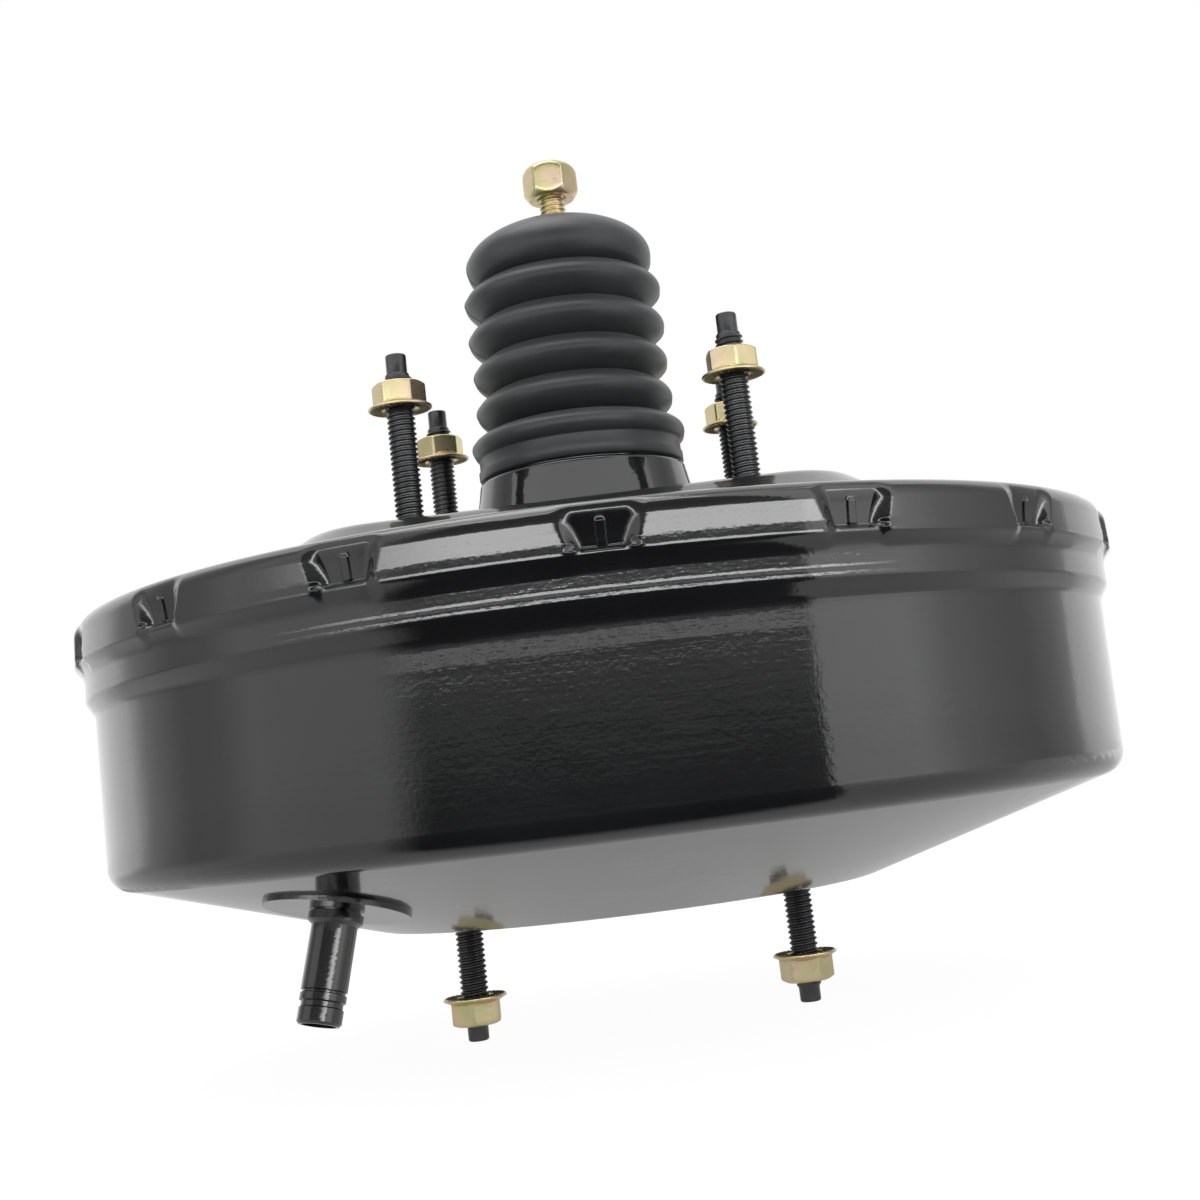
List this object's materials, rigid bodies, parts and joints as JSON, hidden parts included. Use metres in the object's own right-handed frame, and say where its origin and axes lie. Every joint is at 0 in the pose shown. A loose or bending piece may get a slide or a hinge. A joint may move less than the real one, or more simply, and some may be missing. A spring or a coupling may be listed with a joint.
{
  "type": "vacuum brake booster",
  "caption": "Round vacuum brake booster with crimped shells, threaded mounting studs, a vacuum pipe and a push rod in a bellows boot, with its valve, diaphragm and spring inside.",
  "frame": {"origin": "centre of the rear mounting face, on the booster's axis", "axes": "+Z along the axis towards the pedal, X along the long side of the rear stud rectangle"},
  "size_m": [0.281, 0.281, 0.245],
  "materials": {
    "black_paint": "gloss",
    "black_steel": "satin",
    "zinc": "yellow passivated",
    "steel": "satin",
    "spring_steel": "satin",
    "rubber": "matte",
    "plastic": "moulded",
    "nylon": "satin",
    "foam": "open foam",
    "felt": "felt"
  },
  "bodies": {
    "housing": {"front_shell": "black_paint", "rear_shell": "black_paint", "vacuum_pipe": "black_paint", "rear_plate": "steel", "front_plate": "steel", "mounting_studs": "black_steel", "master_cylinder_studs": "black_steel", "mounting_nuts": "zinc", "master_cylinder_nuts": "zinc", "guide_ring": "nylon", "hub_seal": "rubber", "seal_retainer": "steel", "front_seal": "rubber", "front_seal_retainer": "steel", "boot": "rubber", "return_spring": "spring_steel", "diaphragm": "rubber"},
    "power_piston": {"valve_body": "plastic", "diaphragm_plate": "steel", "valve_key": "steel", "reaction_disc": "rubber", "output_rod": "steel", "adjusting_screw": "steel", "rod_retainer": "steel", "poppet_valve": "rubber", "poppet_washer": "steel", "poppet_retainer": "steel", "poppet_spring": "spring_steel", "rod_spring": "spring_steel", "air_filter": "foam", "air_silencer": "felt", "filter_cap": "plastic"},
    "plunger": {"valve_plunger": "steel"},
    "input_rod": {"input_rod": "zinc", "spring_seat": "steel", "lock_nut": "zinc"}
  },
  "joints": [
    {"name": "piston_stroke", "type": "slide", "parent": "housing", "child": "power_piston", "axis": [0, 0, -1], "range_m": [0, 0.03], "stiffness_N_per_m": 3000, "springref_m": -0.03, "deforming": ["boot", "diaphragm", "return_spring"]},
    {"name": "valve_travel", "type": "slide", "parent": "power_piston", "child": "plunger", "axis": [0, 0, -1], "range_m": [0, 0.0012], "stiffness_N_per_m": 4000, "springref_m": -0.006, "deforming": ["poppet_valve", "poppet_spring", "rod_spring"]},
    {"name": "rod_swing", "type": "hinge", "parent": "plunger", "child": "input_rod", "pos_m": [0, 0, -0.011], "axis": [1, 0, 0], "range_deg": [-3, 3], "stiffness_Nm_per_rad": 2}
  ]
}
